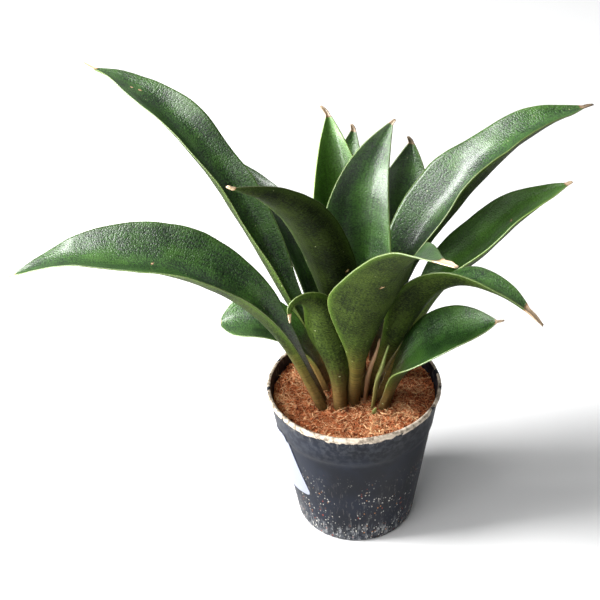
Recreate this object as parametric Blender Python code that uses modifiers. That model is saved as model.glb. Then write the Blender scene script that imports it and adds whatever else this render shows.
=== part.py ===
"""Snake plant in a round nursery pot.  Metres, +Z up, origin at the middle of the pot's foot.

The plant stands in a stepped plastic pot filled with coir.  Fifteen leaves rise from one clump:
each is a stalk that opens into a channelled blade and closes to a dry point.  The front of the
plant is toward -Y.
"""
import math

import bpy
import numpy as np
from mathutils import Vector

MM = 0.001

# ---- driving dimensions (mm) ----------------------------------------------------------------
POT_HEIGHT = 112.0
POT_RIM_RADIUS = 60.0
POT_FOOT_RADIUS = 42.2
POT_WALL = 1.3
COLLAR_BOTTOM = 84.0       # height where the straight body steps out into the collar
COLLAR_RADIUS = 55.4       # radius just above the step
BODY_TOP_RADIUS = 54.3     # radius just below the step
DRAIN_HOLES = 6
DRAIN_RADIUS = 4.0
DRAIN_CIRCLE = 30.0
SOIL_LEVEL = 104.0         # height the leaves' own heights are measured from
SOIL_CENTRE = 106.3        # top of the dome of coir
SOIL_EDGE = 103.0
GAP = 0.3                  # play between two touching solids
LABEL_WIDTH = 34.0
LABEL_HEIGHT = 52.0
LABEL_TILT = -16.0          # degrees the sticker leans
LABEL_MIDDLE = 61.0        # height of its centre
LABEL_HEADING = -157.5     # degrees round the pot
LABEL_THICK = 0.35
LEAF_ROWS = 22
LEAF_COLUMNS = 4
STALK_THICK = 4.2
BLADE_THICK = 2.2
MARGIN_THICK = 0.9
BEND = 0.5                 # share of the half width that is rounded at the keel
SEGMENTS = 48
POCKET_RADIUS = 5.7        # hole in the coir round each stalk

# ---- the leaves -----------------------------------------------------------------------------
# root: where the stalk leaves the coir, x and y in mm.  heading: the way it leans, in degrees
# from +X toward +Y.  spine: reach along the heading, height above the coir, and where a third
# number stands, the sideways drift, all in mm.  roll: turn about the spine from root to tip.
# fold: slope of the two halves from root to tip.  blade: half width at its widest.  flare and
# widest: shares of the length where the stalk ends and where the blade is widest.
LEAVES = {
    "leaf_left_tall": dict(
        root=(-13, 11), heading=149, blade=21, flare=0.10, widest=0.58, close=2.4,
        spine=[(0, -10), (13, 23), (42, 71), (84, 135), (122, 173), (160, 193), (195, 198)],
        roll=[0, 0], fold=[60, 60, 55, 35, 20]),
    "leaf_left_arching": dict(
        root=(-20, -17), heading=184, blade=28, flare=0.15, widest=0.58, close=2.2, stalk=6.2,
        spine=[(-2, -10), (7, 17), (24, 57), (56, 99), (100, 124), (151, 131), (195, 120)],
        roll=[0, -6, -10, -6, 0], fold=[60, 60, 48, 32, 22]),
    "leaf_left_near": dict(
        root=(-6, -4), heading=228, blade=18, flare=0.20, widest=0.54, close=2.2,
        spine=[(0, -10, 0), (6, 50, 2), (15, 103, 5), (29, 143, 6), (53, 177, 4), (92, 204, 0)],
        roll=[20, 30, 35, 35], fold=[60, 45, 28, 25]),
    "leaf_left_behind": dict(
        root=(-13, 29), heading=129, blade=20, flare=0.05, widest=0.38, close=1.6,
        spine=[(0, -10), (18, 48), (36, 78), (60, 99), (92, 115), (120, 121)],
        roll=[0, 0], fold=[60, 45, 30]),
    "leaf_back_left_drooping": dict(
        root=(-16, 1), heading=176, blade=19, flare=0.26, widest=0.72, close=3.0, tip=3.0,
        spine=[(0, -10), (8, 20), (21, 43), (37, 55), (55, 59), (73, 56)],
        roll=[0, -8, -22], fold=[55, 25, 15]),
    "leaf_centre_left": dict(
        root=(-3.5, 21), heading=102, blade=25, flare=0.20, widest=0.60, close=1.8,
        spine=[(0, -10, 0), (1, 55, 1), (4, 104, 2), (9, 145, 4), (16, 172, 5), (27, 195, 5)],
        roll=[0, 0], fold=[60, 45, 40]),
    "leaf_centre_back": dict(
        root=(-3, 34), heading=88, blade=20, flare=0.30, widest=0.62, close=1.8,
        spine=[(0, -10, 0), (5, 55, 1), (14, 102, 1), (24, 138, 0), (36, 169, -5)],
        roll=[0, 0], fold=[60, 40, 30]),
    "leaf_centre_broad": dict(
        root=(4, 11), heading=80, blade=28, flare=0.20, widest=0.55, close=1.8,
        spine=[(0, -10, 0), (1, 50, 0), (4, 97, 0), (8, 138, -1), (14, 168, -8), (22, 193, -20)],
        roll=[0, 0], fold=[60, 45, 30]),
    "leaf_back_right": dict(
        root=(15, 30), heading=58, blade=22, flare=0.28, widest=0.68, close=2.2,
        spine=[(0, -10), (8, 38), (24, 82), (36, 114), (46, 142), (50, 158)],
        roll=[0, 20, 30], fold=[60, 40, 35]),
    "leaf_right_tall": dict(
        root=(14, 8), heading=26, blade=32, flare=0.15, widest=0.56, close=2.1,
        spine=[(0, -10), (9, 46), (29, 95), (61, 132), (103, 163), (163, 176)],
        roll=[0, -8, -12, -6], fold=[60, 48, 38, 32]),
    "leaf_right_middle": dict(
        root=(12.5, -9.5), heading=20, blade=24, flare=0.27, widest=0.64, close=2.4,
        spine=[(0, -10), (6, 10), (26, 50), (51, 86), (75, 104), (114, 131), (139, 141)],
        roll=[0, -10, -10, 0], fold=[60, 50, 36, 30]),
    "leaf_right_drooping": dict(
        root=(3.5, -5.5), heading=338, blade=19, flare=0.22, widest=0.62, close=2.4,
        spine=[(0, -10), (5, 9), (26, 55), (46, 94), (70, 111), (102, 105), (122, 92)],
        roll=[-20, -42, -28, 0], fold=[60, 50, 38, 30]),
    "leaf_front_broad": dict(
        root=(-1, -15), heading=295, blade=30, flare=0.17, widest=0.54, close=1.4,
        spine=[(0, -10), (1, 3), (9, 40), (19, 70), (36, 106), (56, 141), (86, 170), (125, 187)],
        roll=[0, 0, 0], fold=[60, 42, 28, 22]),
    "leaf_front_curled": dict(
        root=(-9, -20), heading=212, blade=15, flare=0.15, widest=0.55, close=2.0,
        spine=[(0, -10), (5, 43), (12, 71), (21, 97), (33, 101), (36, 88)],
        roll=[20, 50, 40], fold=[60, 45, 30]),
    "leaf_right_low": dict(
        root=(19, -18.5), heading=333, blade=25, flare=0.16, widest=0.60, close=2.0,
        spine=[(0, -10), (2, 5), (12, 33), (24, 51), (41, 70), (61, 86), (81, 99)],
        roll=[0, 18, 26], fold=[55, 32, 22]),
}

# Bud sheaths and the young shoot: small pointed scales between the stalks.
SHEATHS = {
    "sheath_left": dict(
        root=(-7, -14), heading=200, blade=1.8, flare=0.05, widest=0.30, close=1.6, stalk=1.7,
        spine=[(0, -8), (1, 20), (2, 40), (3, 55)], roll=[0, 0], fold=[50, 40]),
    "sheath_tall": dict(
        root=(7, -15.5), heading=335, blade=2.6, flare=0.05, widest=0.55, close=1.8, stalk=1.6,
        spine=[(0, -8), (3, 26), (8, 48), (11, 60)], roll=[0, 0], fold=[50, 40]),
    "sheath_green": dict(
        root=(11, -20), heading=350, blade=2.6, flare=0.05, widest=0.45, close=1.6, stalk=1.8,
        spine=[(0, -8), (3, 14), (8, 40), (12, 56)], roll=[0, 0], fold=[50, 40]),
    "shoot_young": dict(
        root=(13, -25), heading=300, blade=2.6, flare=0.05, widest=0.40, close=1.8, stalk=2.2,
        spine=[(0, -8), (0, 0), (1, 4), (3, 8)], roll=[0, 0], fold=[50, 40]),
}

COLOURS = {
    "pot": ((0.030, 0.040, 0.055), 0.42),
    "coir": ((0.30, 0.13, 0.065), 0.95),
    "label": ((0.86, 0.87, 0.88), 0.45),
    "leaf": ((0.035, 0.125, 0.040), 0.35),
    "sheath": ((0.42, 0.28, 0.15), 0.8),
    "shoot": ((0.30, 0.34, 0.12), 0.6),
}


# ---- scene ----------------------------------------------------------------------------------
for old in list(bpy.data.objects):
    bpy.data.objects.remove(old, do_unlink=True)

plant = bpy.data.collections.new("potted_snake_plant")
cutters = bpy.data.collections.new("cutters")
bpy.context.scene.collection.children.link(plant)
bpy.context.scene.collection.children.link(cutters)


def material(name):
    """A Principled material with the part's colour and roughness."""
    colour, rough = COLOURS[name]
    mat = bpy.data.materials.new(name)
    mat.use_nodes = True
    shader = mat.node_tree.nodes["Principled BSDF"]
    shader.inputs["Base Color"].default_value = (*colour, 1.0)
    shader.inputs["Roughness"].default_value = rough
    shader.inputs["Metallic"].default_value = 0.0
    return mat


MATERIALS = {name: material(name) for name in COLOURS}


def adopt(obj, name, home, mat=None):
    """Name an object, move it into a collection and give it its material."""
    obj.name = name
    obj.data.name = name
    for coll in list(obj.users_collection):
        coll.objects.unlink(obj)
    home.objects.link(obj)
    if mat:
        obj.data.materials.append(MATERIALS[mat])
    if home is cutters:
        obj.hide_render = True
        obj.display_type = "WIRE"
    return obj


def turned(name, profile, home, mat=None):
    """A turned solid: the profile (radius, height in mm) runs from the foot's centre up the
    outside and back down the inside to the axis."""
    mesh = bpy.data.meshes.new(name)
    points = [(r * MM, 0.0, z * MM) for r, z in profile]
    edges = [(i, i + 1) for i in range(len(points) - 1)]
    mesh.from_pydata(points, edges, [])
    obj = bpy.data.objects.new(name, mesh)
    bpy.context.scene.collection.objects.link(obj)
    adopt(obj, name, home, mat)
    screw = obj.modifiers.new("turn", "SCREW")
    screw.axis = "Z"
    screw.steps = SEGMENTS
    screw.render_steps = SEGMENTS
    screw.use_merge_vertices = True
    screw.merge_threshold = 0.00001
    screw.use_smooth_shade = True
    return obj


def cut(obj, cutter):
    """Take the cutter out of the object."""
    boolean = obj.modifiers.new("cut_" + cutter.name, "BOOLEAN")
    boolean.operation = "DIFFERENCE"
    boolean.solver = "EXACT"
    boolean.object = cutter


# ---- pot ------------------------------------------------------------------------------------
OUTSIDE = [
    (39.6, 0.0), (41.4, 0.7), (POT_FOOT_RADIUS, 2.6), (BODY_TOP_RADIUS, COLLAR_BOTTOM),
    (COLLAR_RADIUS, COLLAR_BOTTOM + 1.6), (58.7, 108.2), (59.6, 108.8),
    (POT_RIM_RADIUS, 110.2), (59.5, 111.6), (58.7, POT_HEIGHT)]
INSIDE = [
    (57.9, 111.7), (57.4, 110.6), (COLLAR_RADIUS - POT_WALL, COLLAR_BOTTOM + 2.0),
    (BODY_TOP_RADIUS - POT_WALL, COLLAR_BOTTOM + 0.4), (POT_FOOT_RADIUS - POT_WALL + 0.1, 3.4),
    (39.6, 1.7)]
pot_profile = [(0.0, 0.0)] + OUTSIDE + INSIDE + [(0.0, 1.7)]
pot = turned("pot", pot_profile[::-1], plant, "pot")


def drain(index):
    """One drain hole's cutter."""
    angle = 2 * math.pi * index / DRAIN_HOLES
    bpy.ops.mesh.primitive_cylinder_add(
        vertices=16, radius=DRAIN_RADIUS * MM, depth=8 * MM,
        location=(DRAIN_CIRCLE * MM * math.cos(angle), DRAIN_CIRCLE * MM * math.sin(angle), 0.0))
    return adopt(bpy.context.object, f"drain_{index}", cutters)


for index in range(DRAIN_HOLES):
    cut(pot, drain(index))


def radius_at(height):
    """Outside radius of the pot at a height, in mm."""
    heights = [z for _, z in OUTSIDE]
    radii = [r for r, _ in OUTSIDE]
    return float(np.interp(height, heights, radii))


# ---- label ----------------------------------------------------------------------------------
def label():
    """A sticker wrapped on the body, standing off it by the gap."""
    columns, rows = 10, 16
    bpy.ops.mesh.primitive_grid_add(x_subdivisions=columns, y_subdivisions=rows, size=2.0)
    obj = adopt(bpy.context.object, "pot_label", plant, "label")
    tilt = math.radians(LABEL_TILT)
    for vertex in obj.data.vertices:
        across = vertex.co.x
        up = vertex.co.y
        if abs(across) > 0.99 and abs(up) > 0.99:
            across *= 0.90
            up *= 0.94
        a = across * LABEL_WIDTH / 2
        b = up * LABEL_HEIGHT / 2
        height = LABEL_MIDDLE + b * math.cos(tilt) - a * math.sin(tilt)
        along = a * math.cos(tilt) + b * math.sin(tilt)
        radius = radius_at(height) + 0.5
        angle = math.radians(LABEL_HEADING) + along / radius
        vertex.co = (radius * math.cos(angle) * MM, radius * math.sin(angle) * MM, height * MM)
    shell = obj.modifiers.new("thickness", "SOLIDIFY")
    shell.thickness = LABEL_THICK * MM
    shell.offset = 1.0
    return obj


label()


# ---- leaves ---------------------------------------------------------------------------------
def natural_spline(points):
    """A smooth curve through the points, as a function of distance along their chords."""
    points = np.asarray(points, float)
    count = len(points)
    knots = np.concatenate([[0], np.cumsum(np.linalg.norm(np.diff(points, axis=0), axis=1))])
    step = np.diff(knots)
    matrix = np.eye(count)
    right = np.zeros_like(points)
    for i in range(1, count - 1):
        matrix[i, i - 1:i + 2] = step[i - 1], 2 * (step[i - 1] + step[i]), step[i]
        right[i] = 6 * ((points[i + 1] - points[i]) / step[i]
                        - (points[i] - points[i - 1]) / step[i - 1])
    curve = np.linalg.solve(matrix, right)

    def at(x):
        i = np.clip(np.searchsorted(knots, x, side="right") - 1, 0, count - 2)
        h = step[i][:, None]
        a = (knots[i + 1] - x)[:, None] / h
        b = 1 - a
        bend = ((a ** 3 - a) * curve[i] + (b ** 3 - b) * curve[i + 1]) * h ** 2 / 6
        return a * points[i] + b * points[i + 1] + bend

    return at, knots[-1]


def along_spine(spec, shares):
    """Points on the spine at shares of its length, in mm, and the unit vectors there."""
    heading = math.radians(spec["heading"])
    out = np.array([math.cos(heading), math.sin(heading), 0.0])
    aside = np.array([-math.sin(heading), math.cos(heading), 0.0])
    root = np.array([*spec["root"], SOIL_LEVEL])
    rows = [(*p, 0)[:3] for p in spec["spine"]]
    points = [root + r * out + h * np.array([0, 0, 1.0]) + s * aside for r, h, s in rows]
    at, total = natural_spline(points)
    fine = np.linspace(0, total, 400)
    path = at(fine)
    arc = np.concatenate([[0], np.cumsum(np.linalg.norm(np.diff(path, axis=0), axis=1))])
    place = [np.interp(np.clip(shares + d, 0, 1) * arc[-1], arc, fine) for d in (-.002, 0, .002)]
    before, here, after = (at(x) for x in place)
    forward = after - before
    forward /= np.linalg.norm(forward, axis=1)[:, None]
    side = aside - (forward @ aside)[:, None] * forward
    side /= np.linalg.norm(side, axis=1)[:, None]
    upper = np.cross(forward, side)
    return here, forward, side, upper, arc[-1]


def stops(values, shares):
    """A smooth run through equally spaced values."""
    values = np.asarray(values, float)
    places = np.linspace(0, 1, len(values))
    slope = np.gradient(values, places)
    i = np.clip((shares * (len(values) - 1)).astype(int), 0, len(values) - 2)
    h = places[1]
    u = (shares - places[i]) / h
    return ((2 * u ** 3 - 3 * u ** 2 + 1) * values[i] + (u ** 3 - 2 * u ** 2 + u) * h * slope[i]
            + (3 * u ** 2 - 2 * u ** 3) * values[i + 1] + (u ** 3 - u ** 2) * h * slope[i + 1])


def half_width(spec, shares):
    """Half width: the stalk, the blade's swelling and the closing to the tip."""
    stalk = spec.get("stalk", 5.0)
    tip = spec.get("tip", 0.8)
    rise = np.clip((shares - spec["flare"]) / (spec["widest"] - spec["flare"]), 0, 1)
    rise = rise * rise * (3 - 2 * rise)
    close = 1 - np.clip((shares - spec["widest"]) / (1 - spec["widest"]), 0, 1) ** spec["close"]
    return (stalk + (spec["blade"] - stalk) * rise) * close + tip * (1 - close)


def section(fold, across):
    """A rounded V: sideways and upward share of the half width at each place across."""
    size = np.abs(across)
    near = np.minimum(size, BEND)
    rest = np.maximum(size - BEND, 0)
    side = BEND / fold * np.sin(fold * near / BEND) + rest * np.cos(fold)
    up = BEND / fold * (1 - np.cos(fold * near / BEND)) + rest * np.sin(fold)
    return side * np.sign(across), up


def blade_surface(spec, shares, across):
    """Upper face of a leaf: rows by columns of points in mm."""
    centre, forward, side, upper, length = along_spine(spec, shares)
    turn = np.radians(stops(spec["roll"], shares))[:, None]
    side, upper = (np.cos(turn) * side + np.sin(turn) * upper,
                   np.cos(turn) * upper - np.sin(turn) * side)
    fold = np.radians(stops(spec["fold"], shares))[:, None]
    width = half_width(spec, shares)[:, None]
    aside, up = section(fold, across[None, :])
    return (centre[:, None] + side[:, None] * (aside * width)[..., None]
            + upper[:, None] * (up * width)[..., None])


def leaf_thickness(spec, share, across):
    """Thickness in mm: a fleshy keel and stalk, thin margins."""
    stalk = spec.get("stalk", 5.0)
    thick_stalk = STALK_THICK * min(1.0, stalk / 5.0)
    thick_blade = min(BLADE_THICK, thick_stalk)
    blend = min(1.0, max(0.0, (share - spec["flare"]) / 0.3))
    keel = thick_stalk + (thick_blade - thick_stalk) * blend
    ending = max(0.0, (share - 0.75) / 0.25)
    keel += (MARGIN_THICK - keel) * ending
    return keel + (MARGIN_THICK - keel) * abs(across) ** 1.5


def leaf(name, spec, mat, rows):
    """A leaf as a grid laid on its upper face, thickened on the under side."""
    shares = np.linspace(0, 1, rows + 1)
    across = np.linspace(-1, 1, LEAF_COLUMNS + 1)
    points = blade_surface(spec, shares, across)
    bpy.ops.mesh.primitive_grid_add(x_subdivisions=rows, y_subdivisions=LEAF_COLUMNS, size=2.0)
    obj = adopt(bpy.context.object, name, plant, mat)
    group = obj.vertex_groups.new(name="thickness")
    for vertex in obj.data.vertices:
        row = round((vertex.co.x + 1) / 2 * rows)
        column = round((vertex.co.y + 1) / 2 * LEAF_COLUMNS)
        vertex.co = points[row, column] * MM
        thick = leaf_thickness(spec, shares[row], across[column])
        group.add([vertex.index], thick / STALK_THICK, "REPLACE")
    obj.data.shade_smooth()
    obj.data.update()
    shell = obj.modifiers.new("thickness", "SOLIDIFY")
    shell.thickness = STALK_THICK * MM
    shell.offset = -1.0
    shell.vertex_group = "thickness"
    shell.thickness_vertex_group = 0.0
    return obj


for name, spec in LEAVES.items():
    leaf(name, spec, "leaf", LEAF_ROWS)
for name, spec in SHEATHS.items():
    leaf(name, spec, "shoot" if name in ("sheath_green", "shoot_young") else "sheath", 8)

# ---- coir -----------------------------------------------------------------------------------
soil_profile = [
    (0.0, 2.1), (39.2, 2.1), (POT_FOOT_RADIUS - POT_WALL - 0.3, 3.8),
    (BODY_TOP_RADIUS - POT_WALL - GAP, COLLAR_BOTTOM + 0.6),
    (COLLAR_RADIUS - POT_WALL - GAP, COLLAR_BOTTOM + 2.3), (55.9, SOIL_EDGE - 0.6),
    (54.6, SOIL_EDGE), (40.0, SOIL_EDGE + 1.5), (22.0, SOIL_CENTRE - 0.4), (0.0, SOIL_CENTRE)]
soil = turned("potting_mix", soil_profile[::-1], plant, "coir")


def pocket(name, spec):
    """The cutter for the hole that a stalk stands in: a tilted cylinder round its foot."""
    share = spec.get("stalk", 5.0) / 5.0
    radius = POCKET_RADIUS * max(share, min(1.0, share + 0.12))
    centre, forward, _, upper, length = along_spine(spec, np.array([0.0, 0.1]))
    foot = centre[0] - upper[0] * 0.3 - forward[0] * 1.2
    rise = Vector(forward[0])
    bpy.ops.mesh.primitive_cylinder_add(
        vertices=14, radius=radius * MM, depth=24 * MM,
        location=Vector(foot * MM) + rise * 12 * MM,
        rotation=rise.to_track_quat("Z", "Y").to_euler())
    return adopt(bpy.context.object, "pocket_" + name, cutters)


for name, spec in {**LEAVES, **SHEATHS}.items():
    cut(soil, pocket(name, spec))
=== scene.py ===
"""Looks of the potted snake plant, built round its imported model.

The leaves, the coir, the pot and its label are remodelled at full detail in the places of their
plain solids.  Lengths in the tables are millimetres; the meshes are metres, +Z up, and the front
of the plant is toward -Y.
"""
import math

import bpy
import numpy as np
from mathutils import Matrix, Vector, noise


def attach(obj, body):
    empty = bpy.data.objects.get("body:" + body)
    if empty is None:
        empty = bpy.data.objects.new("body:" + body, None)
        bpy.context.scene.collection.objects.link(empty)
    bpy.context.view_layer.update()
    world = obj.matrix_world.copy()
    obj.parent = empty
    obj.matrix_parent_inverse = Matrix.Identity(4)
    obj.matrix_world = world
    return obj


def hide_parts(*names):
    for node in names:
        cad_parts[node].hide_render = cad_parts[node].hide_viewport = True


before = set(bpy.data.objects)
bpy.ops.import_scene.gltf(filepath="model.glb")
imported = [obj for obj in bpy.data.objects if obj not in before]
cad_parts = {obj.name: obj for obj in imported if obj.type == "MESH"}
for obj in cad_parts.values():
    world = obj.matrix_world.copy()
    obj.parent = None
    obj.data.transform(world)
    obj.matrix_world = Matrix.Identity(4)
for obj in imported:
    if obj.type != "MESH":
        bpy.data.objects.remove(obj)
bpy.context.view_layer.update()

MM = 0.001

# ---- camera and light -----------------------------------------------------------------------
CAMERA_PLACE = (0.0, -0.6456, 0.6321)
CAMERA_PITCH = 34.87       # degrees down from level
CAMERA_YAW = -3.05         # degrees to the left of +Y
CAMERA_ROLL = -2.67
CAMERA_LENS = 72.0
SENSOR = 36.0
# lights: azimuth from +X toward +Y, height in degrees, distance, width, tallness (m), power (W)
KEY_LIGHT = (187.0, 45.0, 2.0, 0.70, 1.60, 96.0)
SIDE_LIGHT = (198.0, 1.0, 1.1, 0.90, 0.26, 21.0)
FRONT_LIGHT = (243.0, 44.0, 1.6, 0.80, 0.80, 8.0)
LIGHT_AIM = (0.0, 0.0, 0.14)
SKY_LOW = 0.06             # brightness of the sky away from the backdrop
SKY_HIGH = 0.42            # and toward it
BACKDROP = (-0.35, 0.80, 0.48)
FLOOR_RADIUS = 9.0

# ---- pot and coir, as in the part (mm) --------------------------------------------------------
POT_HEIGHT = 112.0
POT_RIM_RADIUS = 60.0
POT_FOOT_RADIUS = 42.2
POT_WALL = 1.3
COLLAR_BOTTOM = 84.0
COLLAR_RADIUS = 55.4
BODY_TOP_RADIUS = 54.3
DRAIN_HOLES = 6
DRAIN_RADIUS = 4.0
DRAIN_CIRCLE = 30.0
SOIL_LEVEL = 104.0
SOIL_CENTRE = 106.3
SOIL_EDGE = 103.0
SOIL_RADIUS = 55.9
LABEL_WIDTH = 34.0
LABEL_HEIGHT = 52.0
LABEL_TILT = -16.0         # degrees
LABEL_MIDDLE = 61.0        # height
LABEL_HEADING = -157.5     # degrees from +X toward +Y
LABEL_THICK = 0.35

# ---- finer detail of the same pieces (mm) -----------------------------------------------------
POT_SEGMENTS = 420
RIM_ZONE = 100.0           # height that the rim's fine rings and crust begin at
RIM_STEP = 0.55            # spacing of the pot's rings in it
BODY_STEP = 3.0            # and below it
CRUST_TOP = 110.0          # height that the lime crust hangs down from
SHARP_EDGE = 38.0          # degrees
LABEL_CORNER = 4.0
LABEL_LIFT = 0.12          # gap between the pot and the sticker
LABEL_COLUMNS = 48
LABEL_ROWS = 72
BED_CELLS = 230
BED_DEPTH = 16.0
CRUMB_REACH = 55.2         # radius that crumbs lie within
FIBRE_REACH = 54.0         # and the middles of fibres
WALL_REACH = 56.2          # radius that no fibre passes

# Long loose fibres and looping roots on the coir: (x, y, height above it), mm.
LOOSE_FIBRES = (
    ((-50, 4, 0.5), (-44, 12, 3.5), (-40, 20, 4.5), (-42, 27, 2.0), (-46, 30, 0.0)),
    ((-47, -6, 0.2), (-40, -2, 1.8), (-32, -4, 1.6), (-27, -11, 0.0)),
    ((24, -30, 0.0), (28, -25, 3.6), (35, -25, 3.0), (39, -31, 0.0)),
    ((-24, -38, 0.2), (-14, -42, 2.0), (-4, -40, 1.8), (5, -44, 0.0)),
    ((30, 8, 0.2), (38, 14, 2.6), (44, 9, 2.2), (48, 1, 0.0)),
    ((8, -46, 0.0), (16, -42, 2.4), (26, -43, 1.6), (31, -38, 0.0)))
ROOT_LOOPS = (
    ((18, -24, -0.4), (17, -28, 3.0), (21, -31, 4.2), (25, -29, 2.6), (26, -25, -0.4)),
    ((-27, -22, -0.4), (-30, -26, 1.8), (-27, -31, 2.2), (-22, -32, -0.4)))

# ---- leaves ---------------------------------------------------------------------------------
LEAF_ROWS = 170
LEAF_COLUMNS = 28
STALK_THICK = 4.2
BLADE_THICK = 2.2
MARGIN_THICK = 0.8
BEND = 0.5                 # share of the half width that is rounded at the keel
POINT = (5.0, 0.8, 0.0, 0.0, 0.3)       # the dry end of a sheath, as in the table of leaves
LONG_WAVE = 17.0           # mm along the margin, over 2 pi
SHORT_WAVE = 9.5
SWELL = 0.9                # mm that the face rises and falls, in lumps of the next size
SWELL_SIZE = 26.0
SHEATH_ROWS = 60
SHEATH_COLUMNS = 12

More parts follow.
